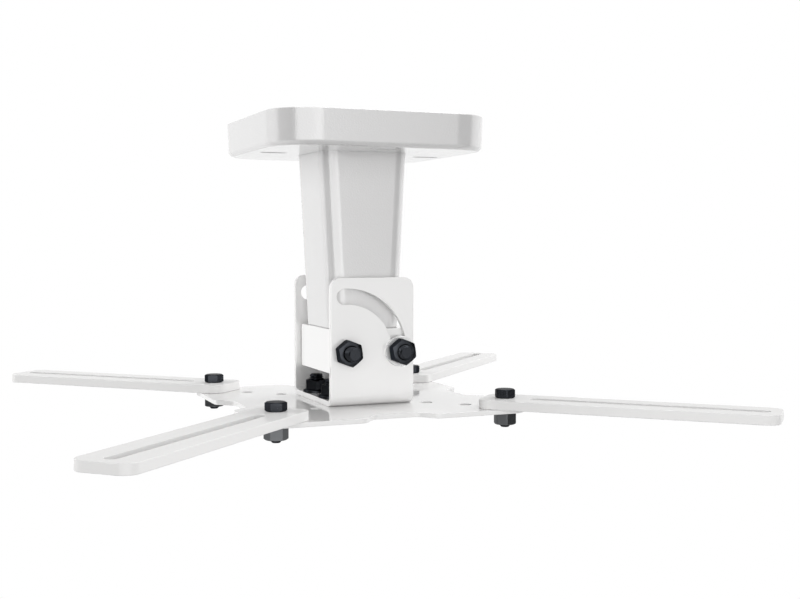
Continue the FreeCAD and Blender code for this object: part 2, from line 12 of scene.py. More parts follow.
import bmesh
import bpy
import numpy as np
from mathutils.geometry import delaunay_2d_cdt
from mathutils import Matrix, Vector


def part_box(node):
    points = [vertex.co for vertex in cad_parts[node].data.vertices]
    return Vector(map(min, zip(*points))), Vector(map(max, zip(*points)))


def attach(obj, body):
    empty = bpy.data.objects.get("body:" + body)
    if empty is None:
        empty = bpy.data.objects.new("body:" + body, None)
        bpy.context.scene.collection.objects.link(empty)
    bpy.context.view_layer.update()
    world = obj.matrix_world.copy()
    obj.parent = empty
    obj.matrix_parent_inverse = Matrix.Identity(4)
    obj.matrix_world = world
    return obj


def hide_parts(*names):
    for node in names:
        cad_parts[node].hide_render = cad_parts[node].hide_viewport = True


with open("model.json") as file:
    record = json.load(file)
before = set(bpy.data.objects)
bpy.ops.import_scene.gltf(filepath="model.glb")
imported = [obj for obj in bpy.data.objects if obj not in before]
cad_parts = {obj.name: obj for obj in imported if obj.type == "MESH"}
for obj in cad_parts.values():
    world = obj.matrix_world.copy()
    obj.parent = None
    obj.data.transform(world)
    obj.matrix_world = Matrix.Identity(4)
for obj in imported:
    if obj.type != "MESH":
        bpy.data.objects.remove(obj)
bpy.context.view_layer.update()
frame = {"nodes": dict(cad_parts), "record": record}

# %% [markdown]
# ## The camera
# The photograph is taken from the front left, a little above the arms and below the canopy, so the
# canopy shows its underside and the arms their tops. The place, the turn and the lens were found by
# matching edges, corners and bolts of the object, so the camera is written down as plain numbers.

# %% Camera
MM = 0.001
IMAGE_WIDTH_PX = 800
FOCAL_PX = 1152.12
SENSOR_MM = 36.0
CAMERA_PLACE, CAMERA_DIP, CAMERA_TURN = (-230.91, -620.23, -68.45), 2.87, 22.82


def add_object(name, data):
    """An object for some data, linked into the scene."""
    made = bpy.data.objects.new(name, data)
    bpy.context.scene.collection.objects.link(made)
    return made


camera_data = bpy.data.cameras.new("photo_camera")
camera_data.sensor_fit = "HORIZONTAL"
camera_data.sensor_width = SENSOR_MM
camera_data.lens = SENSOR_MM * FOCAL_PX / IMAGE_WIDTH_PX
camera = add_object("photo_camera", camera_data)
camera.location = [value * MM for value in CAMERA_PLACE]
camera.rotation_euler = (math.radians(90 - CAMERA_DIP), 0, math.radians(-CAMERA_TURN))
bpy.context.scene.camera = camera
print("lens", round(camera_data.lens, 1), "mm")

# %% [markdown]
# ## A skin to collect points in
# Every piece below is a set of closed loops joined by strips, plus flat fills between loops. The
# class keeps the points as arrays in millimetres. A strip is a grid of points whose neighbours
# become quads. A fill is a flat region with holes, cut into triangles that only use the loops. Boolean
# cuts would also do, but here each point keeps a known place.

# %% Skin class
FILL_TOLERANCE = 1e-6


class Skin:
    """Collects the points and faces of one piece, in millimetres."""

    def __init__(self):
        self.points = np.zeros((0, 3))
        self.edge = np.zeros(0)
        self.faces = []

    def add(self, grid, edge=0.0):
        """Takes an array of points of any shape and returns their numbers in that shape."""
        first = len(self.points)
        flat = grid.reshape(-1, 3)
        self.points = np.concatenate([self.points, flat])
        marks = np.broadcast_to(np.asarray(edge, float), grid.shape[:-1]).reshape(-1)
        self.edge = np.concatenate([self.edge, marks])
        return np.arange(first, first + len(flat)).reshape(grid.shape[:-1])

    def strip(self, ids, close_rows=False):
        """Quads between neighbours of a grid whose columns run round a loop."""
        low = ids if close_rows else ids[:-1]
        high = np.roll(ids, -1, axis=0) if close_rows else ids[1:]
        quads = np.stack([low, np.roll(low, -1, axis=1), np.roll(high, -1, axis=1), high], axis=-1)
        self.faces += quads.reshape(-1, 4).tolist()

    def fan(self, ring):
        """Closes a ring of points with one flat face."""
        self.faces.append(ring.tolist())

    def fill(self, rings, inner=None):
        """Triangles between an outer ring and hole rings.

        A triangle stays if a ray from its middle crosses the rings an odd number of times.
        """
        ids = np.concatenate(rings if inner is None else rings + [inner])
        starts = np.cumsum([0] + [len(ring) for ring in rings])
        edges = np.concatenate([np.stack([np.arange(a, b), np.roll(np.arange(a, b), -1)], axis=1)
                                for a, b in zip(starts[:-1], starts[1:])])
        flat = self.points[ids][:, :2]
        result = delaunay_2d_cdt(flat.tolist(), edges.tolist(), [], 0, FILL_TOLERANCE)
        source = np.array([group[0] for group in result[3]])
        triangles = source[np.array(result[2])]
        middle = flat[triangles].mean(axis=1)
        (ax, ay), (bx, by) = flat[edges[:, 0]].T[:, None], flat[edges[:, 1]].T[:, None]
        spans = (ay > middle[:, 1:]) != (by > middle[:, 1:])
        rise = np.where(by == ay, 1.0, by - ay)
        crossed = spans & (middle[:, :1] < ax + (middle[:, 1:] - ay) * (bx - ax) / rise)
        self.faces += ids[triangles[crossed.sum(axis=1) % 2 == 1]].tolist()


# %% [markdown]
# ## From a skin to a piece
# The mesh gets its points in metres, its doubles merged and its faces turned outwards. An attribute
# called edge marks the rounded sheet edges, where the finishes mix in an edge colour: a painted
# highlight on some, a darker tone on others. Weighted normals keep the broad flat faces flat and let
# only the narrow roundings shade softly, which plain smooth shading would smear.

# %% Piece maker
SHARP_ANGLE, MERGE_DISTANCE, NORMAL_WEIGHT = math.radians(38), 1e-7, 80


def make_piece(node, skin, body, move=None):
    """Turns a skin into an object that stands for the CAD node of that name."""
    points = skin.points if move is None else move(skin.points)
    mesh = bpy.data.meshes.new(node + "_skin")
    mesh.from_pydata((points * MM).tolist(), [], skin.faces)
    marks = mesh.attributes.new("edge", "FLOAT", "POINT")
    marks.data.foreach_set("value", skin.edge)
    work = bmesh.new()
    work.from_mesh(mesh)
    bmesh.ops.remove_doubles(work, verts=work.verts, dist=MERGE_DISTANCE)
    bmesh.ops.recalc_face_normals(work, faces=work.faces)
    open_edges = sum(1 for edge in work.edges if not edge.is_manifold)
    work.to_mesh(mesh)
    work.free()
    mesh.shade_smooth()
    mesh.set_sharp_from_angle(angle=SHARP_ANGLE)
    piece = add_object(node + "_skin", mesh)
    normals = piece.modifiers.new("even_normals", "WEIGHTED_NORMAL")
    normals.keep_sharp = True
    normals.weight = NORMAL_WEIGHT
    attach(piece, body)
    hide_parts(node)
    print(node, len(mesh.polygons), "faces, open edges:", open_edges)


def turned(axis, degrees, shift):
    """Returns a mover that turns points about an axis by the right-hand rule and then shifts them."""
    angle = math.radians(degrees)
    c, s = math.cos(angle), math.sin(angle)
    a, b = {"x": (1, 2), "y": (2, 0), "z": (0, 1)}[axis]
    matrix = np.eye(3)
    matrix[a, a], matrix[a, b], matrix[b, a], matrix[b, b] = c, -s, s, c
    return lambda points: points @ matrix.T + np.asarray(shift, float)


# %% [markdown]
# ## Outlines
# Sheet parts start as an outline on a flat plane. A corner with a radius is an arc that leaves each
# side where it touches it. Each point also knows which way is out of the sheet, so the outline can be
# drawn in or out by a distance: a point moves along its own outward direction.

# %% Outlines with round corners
ARC_STEP, SLOT_FLAT = math.radians(7.5), 1e-4


def outline(corners, radii, spacing=None):
    """Points and outward directions of a polygon with an arc of the given radius in each corner.

    The corners run anticlockwise. With a spacing, the straight sides get points as well.
    """
    corners = np.asarray(corners, float)
    along = np.roll(corners, -1, axis=0) - corners
    along /= np.linalg.norm(along, axis=1, keepdims=True)
    points, outs = [], []
    for here, radius in enumerate(np.broadcast_to(radii, len(corners))):
        u, v = along[here - 1], along[here]
        turn = math.atan2(u[0] * v[1] - u[1] * v[0], u @ v)
        side = math.copysign(1.0, turn)
        start = corners[here] - u * radius * math.tan(abs(turn) / 2)
        centre = start + np.array([-u[1], u[0]]) * radius * side
        first = math.atan2(*(start - centre)[::-1])
        sweep = first + np.linspace(0, turn, max(2, round(abs(turn) / ARC_STEP) + 1))
        rays = np.stack([np.cos(sweep), np.sin(sweep)], axis=1)
        points.append(centre + radius * rays)
        outs.append(rays * side)
    if spacing:
        for here in range(len(corners)):
            a, b = points[here][-1], points[(here + 1) % len(corners)][0]
            steps = np.linspace(0, 1, max(2, int(np.linalg.norm(b - a) / spacing) + 2))[1:-1, None]
            points[here] = np.concatenate([points[here], a + (b - a) * steps])
            outs[here] = np.concatenate([outs[here], np.repeat(outs[here][-1:], len(steps), axis=0)])
    return np.concatenate(points), np.concatenate(outs)


def box_outline(left, right, low, high, radius, spacing=None):
    """An upright box with round corners, anticlockwise from its lower left one."""
    return outline([(left, low), (right, low), (right, high), (left, high)], radius, spacing)


def round_hole(x, y, radius, count=40):
    """A circle as a hole: its outward directions point from the sheet into the hole."""
    angle = np.linspace(0, 2 * math.pi, count, endpoint=False)
    ray = np.stack([np.cos(angle), np.sin(angle)], axis=1)
    return np.array([x, y]) + radius * ray, -ray


def hole(points_and_outs):
    """Makes a hole of an outline."""
    return points_and_outs[0], -points_and_outs[1]


def slot_hole(x, y, length, width):
    """A slot along x: a box whose corners take half its width less a hair, so both ends are round."""
    half = length / 2
    return hole(box_outline(x - half, x + half, y - width / 2, y + width / 2, width / 2 - SLOT_FLAT))


print("a slot's outline has", len(slot_hole(0, 0, 15.0, 6.0)[0]), "points")


# %% [markdown]
# ## Sheet with soft edges
# A punched and painted sheet never has a knife edge: paint draws thin over a small radius. So the wall
# of each loop is a profile with a quarter round at the top and the bottom, carried along the loop, and
# the two flat sides are fills between the drawn-in loops. A bevel modifier would be quicker, but here
# every loop has the radius that is written down for it.

# %% Sheet surface
PUNCHED_EDGE = 0.2


def edge_profile(low, high, edge, steps=3):
    """Distance drawn in, height and edge mark of a wall with a quarter round at both ends."""
    angle = np.linspace(-90, 0, steps + 1) * math.pi / 180
    inset = edge * (1 - np.cos(angle))
    level = low + edge + edge * np.sin(angle)
    mark = np.ones(steps + 1)
    mark[[0, -1]] = 0
    return (np.concatenate([inset, inset[::-1]]),
            np.concatenate([level, (low + high) - level[::-1]]),
            np.concatenate([mark, mark[::-1]]))


def walls(skin, loop, low, high, edge):
    """One strip per loop: point = loop - outward * inset, at the profile's height."""
    points, outs = loop
    inset, level, mark = edge_profile(low, high, edge)
    flat = points[None] - outs[None] * inset[:, None, None]
    height = np.broadcast_to(level[:, None, None], flat.shape[:2] + (1,))
    ids = skin.add(np.concatenate([flat, height], axis=2), mark[:, None])
    skin.strip(ids)
    return ids


def sheet(loop, holes, low, high, edge, inner=None):
    """A flat sheet: walls on every loop, a fill below and a fill above. Punched holes keep a crisper edge."""
    skin = Skin()
    rings = [walls(skin, loop, low, high, edge)]
    rings += [walls(skin, each, low, high, PUNCHED_EDGE) for each in holes]
    for row, level in ((0, low), (-1, high)):
        extra = None
        if inner is not None:
            lifted = np.concatenate([inner, np.full((len(inner), 1), level)], axis=1)
            extra = skin.add(lifted)
        skin.fill([ring[row] for ring in rings], extra)
    return skin


print("a sheet's edge has", len(edge_profile(0.0, 1.0, PUNCHED_EDGE)[0]), "rows")


# %% [markdown]
# ## The arms
# Each arm is a flat bar with round corners, a long slot for the projector's screws and a hole for the
# bolt that it turns on. Turned copies of one object would do, but the pieces have to stay unturned, so
# each arm's points are drawn along x with the bolt at zero and then turned to its corner.
# A hair of air stays under it, as between any two painted parts that slide on each other.

# %% Arms
ARM_WIDTH, ARM_HEEL, ARM_REACH, ARM_CORNER = 30.0, 12.0, 144.5, 7.0
ARM_SLOT_START, ARM_SLOT_END, ARM_SLOT_WIDTH = 14.0, 139.0, 6.5
ARM_HOLE_RADIUS, ARM_EDGE, ARM_GAP = 3.05, 0.35, 0.05
ARM_BOLT = 65.0
CORNERS = {"front_left": (-1, -1, 225), "back_left": (-1, 1, 135),
           "front_right": (1, -1, 315), "back_right": (1, 1, 45)}

for corner, (side_x, side_y, heading) in CORNERS.items():
    low, high = (value[2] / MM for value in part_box("arm_" + corner))
    bar = box_outline(-ARM_HEEL, ARM_REACH, -ARM_WIDTH / 2, ARM_WIDTH / 2, ARM_CORNER)
    slot_middle = (ARM_SLOT_START + ARM_SLOT_END) / 2
    cuts = [slot_hole(slot_middle, 0, ARM_SLOT_END - ARM_SLOT_START, ARM_SLOT_WIDTH),
            round_hole(0, 0, ARM_HOLE_RADIUS)]
    arm = sheet(bar, cuts, low + ARM_GAP, high, ARM_EDGE)
    make_piece("arm_" + corner, arm, "arm_" + corner,
               turned("z", heading, (side_x * ARM_BOLT, side_y * ARM_BOLT, 0)))

# %% [markdown]
# ## The spider plate
# The plate is a square whose corners are round about the arm bolts. A shallow recess with sloping ends
# takes weight out of the middle of each side. All twenty corners could be typed in. One side's are
# written down instead and turned three times, so the four sides can't differ.

# %% Spider plate
PLATE_HALF, PLATE_CORNER, PLATE_EDGE = 75.5, 10.5, 0.3
NOTCH_DEPTH, NOTCH_FLOOR, NOTCH_MOUTH, NOTCH_RADIUS = 9.5, 25.0, 40.0, 5.0
HOLE_STEP, PLATE_HOLE_RADIUS = 16.25, 3.5
BASE_BOLT_X, BASE_BOLT_Y, BASE_HOLE_RADIUS = 17.0, 13.5, 4.25

notch_floor = PLATE_HALF - NOTCH_DEPTH
right_side = np.array([(PLATE_HALF, -PLATE_HALF), (PLATE_HALF, -NOTCH_MOUTH / 2),
                       (notch_floor, -NOTCH_FLOOR / 2), (notch_floor, NOTCH_FLOOR / 2),
                       (PLATE_HALF, NOTCH_MOUTH / 2)])
quarter = np.array([[0, 1], [-1, 0]])
plate_corners = np.concatenate([right_side @ np.linalg.matrix_power(quarter, k) for k in range(4)])
plate_radii = [PLATE_CORNER] + [NOTCH_RADIUS] * 4
plate_loop = outline(plate_corners, plate_radii * 4)
base_bolts = [(x * BASE_BOLT_X, y * BASE_BOLT_Y) for x in (-1, 1) for y in (-1, 1)]
plate_holes = [round_hole(sx * (ARM_BOLT - k * HOLE_STEP), sy * (ARM_BOLT - k * HOLE_STEP), PLATE_HOLE_RADIUS)
               for sx, sy, heading in CORNERS.values() for k in range(3)]
plate_holes += [round_hole(x, y, BASE_HOLE_RADIUS) for x, y in base_bolts]
plate_low, plate_high = (value[2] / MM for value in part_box("spider_plate"))
plate = sheet(plate_loop, plate_holes, plate_low, plate_high, PLATE_EDGE)
make_piece("spider_plate", plate, "tilting_head")

# %% [markdown]
# ## The yoke
# A press brake folds the yoke from one flat blank, and the script does the same. The blank lies in the
# plane of x and s, where s is the distance along the middle of the sheet: down the front cheek, round a
# bend, across the base, round the other bend and up the back cheek. The fold turns every point's s and
# its height over the middle into y and z. A solid U with cut holes would look alike, but on the blank the
# holes and edges are plain flat outlines.

# %% Fold a blank
def fold_path(lengths, radius, start, heading):
    """Returns a function of s and n: the place of a point s along a path of straights and left quarter turns.

    On a straight, place = start + direction * s. In a bend, the direction turns by s / radius.
    n is the distance to the right of the path.
    """
    pieces = []
    place, angle, run = np.asarray(start, float), math.radians(heading), 0.0
    for number, length in enumerate(lengths):
        pieces.append((run, length, place, angle, 0.0))
        place = place + length * np.array([math.cos(angle), math.sin(angle)])
        run += length
        if number < len(lengths) - 1:
            pieces.append((run, radius * math.pi / 2, place, angle, 1.0 / radius))
            middle = place + radius * np.array([-math.sin(angle), math.cos(angle)])
            angle += math.pi / 2
            place = middle - radius * np.array([-math.sin(angle), math.cos(angle)])
            run += radius * math.pi / 2

    def follow(s, n):
        """Places of points s along the path and n to its right."""
        s = np.clip(s, 0, run)
        flat = np.zeros(s.shape + (2,))
        for first, length, origin, angle, curve in pieces:
            inside = (s >= first) & (s <= first + length)
            here = s[inside] - first
            turn = angle + here * curve
            if curve:
                centre = origin + np.array([-math.sin(angle), math.cos(angle)]) / curve
                spoke = np.stack([np.sin(turn), -np.cos(turn)], axis=1)
                flat[inside] = centre + spoke * (1.0 / curve + n[inside])[:, None]
            else:
                step = np.array([math.cos(angle), math.sin(angle)])
                right = np.array([step[1], -step[0]])
                flat[inside] = origin + here[:, None] * step + n[inside][:, None] * right
        return flat

    return follow, run


def bend_grid(lengths, radius, left, right, rows=9, columns=20):
    """Extra points inside the bends of a blank, so that its flat sides can follow the curve."""
    arc = radius * math.pi / 2
    starts = np.cumsum(np.array(lengths)[:-1] + arc) - arc
    s = np.concatenate([first + np.linspace(0, arc, rows) for first in starts])
    x = np.linspace(left, right, columns + 2)[1:-1]
    return np.stack(np.meshgrid(x, s), axis=2).reshape(-1, 2)


print("a quarter bend of radius 4 takes", round(fold_path([0, 0], 4.0, (0, 0), 0)[1], 2), "mm")


# %% [markdown]
# The arc slot is a ring sector with round ends. Its four arcs are laid end to end: the outer side, the
# far end, the inner side and the near end. A boolean cut with a bent slot would leave uneven points.

# %% Yoke
YOKE_HALF, YOKE_SHEET, YOKE_CORNER, BEND_INSIDE, YOKE_EDGE = 24.4, 3.0, 5.8, 2.5, 0.35
PIVOT_X, PIVOT_Z, PIVOT_RADIUS = -14.8, -129.0, 4.05
SLOT_REACH, SLOT_HALF, SLOT_FIRST, SLOT_LAST = 30.7, 4.3, -3.3, 93.3
SLOT_STEPS, CAP_STEPS, BLANK_SPACING = 40, 13, 0.75


def arc_slot_hole(x, y, flip):
    """A slot along an arc about x, y; flip is -1 where up on the blank is down on the sheet."""
    sweep = np.radians(np.linspace(SLOT_FIRST, SLOT_LAST, SLOT_STEPS))
    cap = np.linspace(0, math.pi, CAP_STEPS)[1:-1]
    centres = SLOT_REACH * np.stack([np.cos(sweep), np.sin(sweep)], axis=1)
    rays = centres / SLOT_REACH
    far_side = np.array([-rays[-1][1], rays[-1][0]])
    near_side = np.array([rays[0][1], -rays[0][0]])
    far = np.cos(cap)[:, None] * rays[-1] + np.sin(cap)[:, None] * far_side
    near = -np.cos(cap)[:, None] * rays[0] + np.sin(cap)[:, None] * near_side
    middles = np.concatenate([centres, np.repeat(centres[-1:], len(cap), 0), centres[::-1],
                              np.repeat(centres[:1], len(cap), 0)])
    outward = np.concatenate([rays, far, -rays[::-1], near])
    mirror = np.array([1, flip])
    return np.array([x, y]) + (middles + SLOT_HALF * outward) * mirror, -outward * mirror


yoke_box = [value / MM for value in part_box("tilt_yoke")[0]], [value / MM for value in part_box("tilt_yoke")[1]]
yoke_top, yoke_low, yoke_out = yoke_box[1][2], yoke_box[0][2], yoke_box[1][1]
bend_middle = BEND_INSIDE + YOKE_SHEET / 2
cheek = yoke_top - yoke_low - YOKE_SHEET / 2 - bend_middle
base = 2 * (yoke_out - YOKE_SHEET / 2 - bend_middle)
yoke_lengths = [cheek, base, cheek]
follow_yoke, yoke_run = fold_path(yoke_lengths, bend_middle, (-(yoke_out - YOKE_SHEET / 2), yoke_top), -90)
blank = box_outline(-YOKE_HALF, YOKE_HALF, 0, yoke_run, YOKE_CORNER, spacing=BLANK_SPACING)
pivot_s = yoke_top - PIVOT_Z
yoke_holes = [round_hole(PIVOT_X, pivot_s, PIVOT_RADIUS),
              round_hole(PIVOT_X, yoke_run - pivot_s, PIVOT_RADIUS),
              arc_slot_hole(PIVOT_X, pivot_s, -1), arc_slot_hole(PIVOT_X, yoke_run - pivot_s, 1)]
yoke_holes += [round_hole(x, yoke_run / 2 + y, BASE_HOLE_RADIUS) for x, y in base_bolts]
yoke = sheet(blank, yoke_holes, -YOKE_SHEET / 2, YOKE_SHEET / 2, YOKE_EDGE,
             bend_grid(yoke_lengths, bend_middle, -YOKE_HALF + YOKE_EDGE, YOKE_HALF - YOKE_EDGE))


def fold_yoke(points):
    """x stays, s and height become y and z."""
    flat = follow_yoke(points[:, 1], points[:, 2])
    return np.stack([points[:, 0], flat[:, 0], flat[:, 1]], axis=1)


make_piece("tilt_yoke", yoke, "tilting_head", fold_yoke)

# %% [markdown]
# ## The foot under the column
# The foot is a second U, folded about upright lines, so its path runs in plan: along the front cheek,
# round a bend, across the web and back along the other cheek. A cap closes it at the top, where the
# column stands on it.

# %% Foot
FOOT_SHEET, FOOT_CORNER, FOOT_EDGE, FOOT_HOLE_RADIUS = 2.5, 6.0, 0.4, 4.25
FOOT_TOP_CORNER, FOOT_COLUMNS = 0.6, 10
LOCK_X = PIVOT_X + SLOT_REACH
foot_low, foot_high = ([value / MM for value in corner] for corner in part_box("column_foot"))
foot_middle = BEND_INSIDE + FOOT_SHEET / 2
foot_cheek = foot_high[0] - foot_low[0] - FOOT_SHEET / 2 - foot_middle
foot_web = 2 * (foot_high[1] - FOOT_SHEET / 2 - foot_middle)
foot_lengths = [foot_cheek, foot_web, foot_cheek]
follow_foot, foot_run = fold_path(foot_lengths, foot_middle,
                                  (foot_high[0], foot_high[1] - FOOT_SHEET / 2), 180)
foot_blank = outline([(0, foot_low[2]), (foot_run, foot_low[2]), (foot_run, foot_high[2]), (0, foot_high[2])],
                     [FOOT_CORNER, FOOT_CORNER, FOOT_TOP_CORNER, FOOT_TOP_CORNER], spacing=BLANK_SPACING)
foot_holes = []
for x in (PIVOT_X, LOCK_X):
    for s in (foot_high[0] - x, foot_run - (foot_high[0] - x)):
        foot_holes.append(round_hole(s, PIVOT_Z, FOOT_HOLE_RADIUS))
foot_inner = bend_grid(foot_lengths, foot_middle, foot_low[2] + FOOT_EDGE, foot_high[2] - FOOT_EDGE,
                       columns=FOOT_COLUMNS)[:, ::-1]
foot = sheet(foot_blank, foot_holes, -FOOT_SHEET / 2, FOOT_SHEET / 2, FOOT_EDGE, foot_inner)
foot_flat = follow_foot(foot.points[:, 0], foot.points[:, 2])
foot.points = np.stack([foot_flat[:, 0], foot_flat[:, 1], foot.points[:, 1]], axis=1)
inside_y = foot_high[1] - FOOT_SHEET
cap_loop = box_outline(foot_low[0] + FOOT_SHEET, foot_high[0], -inside_y, inside_y,
                       [BEND_INSIDE, FOOT_TOP_CORNER, FOOT_TOP_CORNER, BEND_INSIDE])
cap = sheet(cap_loop, [], foot_high[2] - FOOT_SHEET, foot_high[2], FOOT_EDGE)
cap_ids = foot.add(cap.points, cap.edge)
foot.faces += [cap_ids[face].tolist() for face in cap.faces]
make_piece("column_foot", foot, "ceiling_bracket")

# %% [markdown]
# ## The column
# The column gets narrower downwards but keeps its depth. Rings of rounded boxes, all with the same
# number of points, are joined one after another: up the bore, over the flange and down the outside, so
# the strip closes on itself. A box scaled at one end would taper too, but its wall would thin as well.

# %% Column
COLUMN_TOP_HALF, COLUMN_END_HALF, COLUMN_DEPTH_HALF = 26.15, 20.7, 25.0
COLUMN_CORNER, COLUMN_SHEET, COLUMN_EDGE = 9.0, 2.5, 0.4
FLANGE_HALF, FLANGE_CORNER, FLANGE_SHEET = 35.0, 8.0, 3.0
column_low, column_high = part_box("column")[0][2] / MM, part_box("column")[1][2] / MM


def ring(half_x, half_y, radius, level):
    """A rounded box at one height, always with the same number of points."""
    flat = box_outline(-half_x, half_x, -half_y, half_y, radius)[0]
    return np.concatenate([flat, np.full((len(flat), 1), level)], axis=1)


def tube_ring(level, inset):
    """The tube at one height: its half width runs evenly from the top's to the end's."""
    share = (column_high - level) / (column_high - column_low)
    half = COLUMN_TOP_HALF + (COLUMN_END_HALF - COLUMN_TOP_HALF) * share
    return ring(half - inset, COLUMN_DEPTH_HALF - inset, COLUMN_CORNER - inset, level)


def flange_ring(level, inset):
    """The flange at one height, drawn in by a distance."""
    return ring(FLANGE_HALF - inset, FLANGE_HALF - inset, FLANGE_CORNER - inset, level)


soft, seat = COLUMN_EDGE, column_high - FLANGE_SHEET
column_rings = [
    (tube_ring(column_low, COLUMN_SHEET - soft), 0), (tube_ring(column_low + soft, COLUMN_SHEET), 1),
    (tube_ring(column_high - soft, COLUMN_SHEET), 1), (tube_ring(column_high, COLUMN_SHEET - soft), 0),
    (flange_ring(column_high, soft), 0), (flange_ring(column_high - soft, 0), 1),
    (flange_ring(seat + soft, 0), 1), (flange_ring(seat, soft), 0),
    (tube_ring(seat, 0), 0), (tube_ring(column_low + soft, 0), 1), (tube_ring(column_low, soft), 0),
]
column = Skin()
column_ids = column.add(np.stack([each for each, mark in column_rings]),
                        np.array([mark for each, mark in column_rings], float)[:, None])
column.strip(column_ids, close_rows=True)
make_piece("column", column, "ceiling_bracket")

# %% [markdown]
# ## The canopy
# The canopy is a pressed tray. Its wall is a profile of inset and height carried round a rounded
# square: over the rim, down the sloping side, round the lower edge and on to the floor. The floor's two
# sides are fills with the window for the column and the screw slots cut out. A cube would need its draft,
# its hollow and its roundings added one by one.

# %% Canopy
CANOPY_CORNER, CANOPY_SHEET, CANOPY_DRAFT, CANOPY_EDGE = 25.0, 3.0, 2.0, 3.0
WINDOW_GAP, WINDOW_EDGE, SLOT_PLACE, SLOT_LENGTH, SLOT_WIDTH, FLOOR_EDGE = 0.1, 0.1, 46.0, 15.0, 6.0, 0.5
RIM_EDGE, INNER_ROUND, INNER_MIDDLE, ROUND_STEPS = 0.4, 1.0, 0.3, 8
canopy_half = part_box("ceiling_canopy")[1][0] / MM
canopy_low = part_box("ceiling_canopy")[0][2] / MM
slope = math.tan(math.radians(CANOPY_DRAFT))
floor_top = canopy_low + CANOPY_SHEET
lower_inset = -canopy_low * slope
round_angle = np.radians(np.linspace(0, 90, ROUND_STEPS))
inner_inset = CANOPY_SHEET - floor_top * slope
profile = np.concatenate([
    [(inner_inset + INNER_ROUND, floor_top, 0), (inner_inset + INNER_MIDDLE, floor_top + INNER_MIDDLE, 0),
     (inner_inset, floor_top + INNER_ROUND, 0), (CANOPY_SHEET, -RIM_EDGE, 0),
     (CANOPY_SHEET - RIM_EDGE, 0, 1), (RIM_EDGE, 0, 1), (0.0, -RIM_EDGE, 0)],
    np.stack([lower_inset + CANOPY_EDGE * (1 - np.cos(round_angle)),
              canopy_low + CANOPY_EDGE * (1 - np.sin(round_angle)), np.zeros(ROUND_STEPS)], axis=1),
])
rim, rim_out = box_outline(-canopy_half, canopy_half, -canopy_half, canopy_half, CANOPY_CORNER)
wall_flat = rim[None] - rim_out[None] * profile[:, 0][:, None, None]
wall_level = np.broadcast_to(profile[:, 1][:, None, None], wall_flat.shape[:2] + (1,))
canopy = Skin()
wall_ids = canopy.add(np.concatenate([wall_flat, wall_level], axis=2), profile[:, 2][:, None])
canopy.strip(wall_ids)
window_x, window_y = COLUMN_TOP_HALF + WINDOW_GAP, COLUMN_DEPTH_HALF + WINDOW_GAP
floor_holes = [hole(box_outline(-window_x, window_x, -window_y, window_y, COLUMN_CORNER))]
floor_holes += [slot_hole(x * SLOT_PLACE, y * SLOT_PLACE, SLOT_LENGTH, SLOT_WIDTH)
                for x, y in ((-1, 0), (1, 0), (0, -1), (0, 1))]
hole_edges = [WINDOW_EDGE] + [FLOOR_EDGE] * 4
hole_ids = [walls(canopy, each, canopy_low, floor_top, edge) for each, edge in zip(floor_holes, hole_edges)]
canopy.fill([wall_ids[-1]] + [each[0] for each in hole_ids])
canopy.fill([wall_ids[0]] + [each[-1] for each in hole_ids])
make_piece("ceiling_canopy", canopy, "ceiling_bracket")

# %% [markdown]
# ## Hexagons, threads and washers
# A hexagon seen along its axis is a radius that depends on the angle: half the width across flats over
# the cosine of the angle from the nearest flat. The chamfer is a cone, and it meets each flat on a curve,
# so the height of that row also depends on the angle. A thread is a radius that rises and falls along
# the shank, shifted by one pitch for each turn. A six-sided cylinder would be quicker, but it would lack
# the curved chamfers.

# %% Hexagon rows
HEX_FACE, HEX_SLOPE, HEX_BLUNT = 0.95, math.tan(math.radians(30)), 0.992
HEX_COUNT = 96
HEX_ANGLES = np.linspace(0, 2 * math.pi, HEX_COUNT, endpoint=False)


def hex_radius(flats):
    """Radius of a hexagon at each angle, its corners blunted a little; a corner lies at angle 0."""
    nearest = (HEX_ANGLES % (math.pi / 3)) - math.pi / 6
    return np.minimum(flats / 2 / np.cos(nearest), HEX_BLUNT * flats / math.sqrt(3))


def polar_row(radius, level):
    """Points at the hexagon's angles: x and y are the radius times cosine and sine, z is the level."""
    return np.stack([radius * np.cos(HEX_ANGLES), radius * np.sin(HEX_ANGLES), level], axis=1)


def circle_row(radius, level):
    """Points on a circle at a height, at the hexagon's angles."""
    return polar_row(np.full(HEX_COUNT, float(radius)), np.full(HEX_COUNT, float(level)))


def hex_rows(flats, low, high, low_chamfer=True):
    """Rows of a hexagon, from its lower face up: the chamfer's depth is slope times (radius - face)."""
    radius = hex_radius(flats)
    face = flats * HEX_FACE / 2
    cut = np.maximum(radius - face, 0) * HEX_SLOPE
    lower = [polar_row(radius, np.full_like(radius, low))]
    if low_chamfer:
        lower = [circle_row(face, low), polar_row(radius, low + cut)]
    return lower + [polar_row(radius, high - cut), circle_row(face, high)]


print("a nut's outside:", len(hex_rows(13.0, 0.0, 6.5)), "rows of", HEX_COUNT, "points")

# %% Thread rows
THREAD_DEPTH, THREAD_CREST, THREAD_FLANK, ROWS_PER_PITCH = 0.54, 0.12, 0.76, 8


def thread_rows(radius, pitch, low, high, tip):
    """Rows of a thread: radius - depth * wave(height / pitch + angle / full turn), blunt at the tip."""
    levels = np.linspace(low, high, max(3, int((high - low) / pitch * ROWS_PER_PITCH)))
    turn = levels[:, None] / pitch + HEX_ANGLES[None] / (2 * math.pi)
    wave = np.abs((turn % 1.0) * 2 - 1)
    depth = THREAD_DEPTH * pitch
    grown = radius - depth * np.clip((wave - THREAD_CREST) / THREAD_FLANK, 0, 1)
    limit = radius - tip + (levels[:, None] - low)
    fade = radius - depth * np.clip((high - levels[:, None]) / pitch, 0, 1)
    rows = np.minimum(np.maximum(grown, fade), np.minimum(limit, radius))
    return [polar_row(row, np.full_like(row, level)) for row, level in zip(rows, levels)]


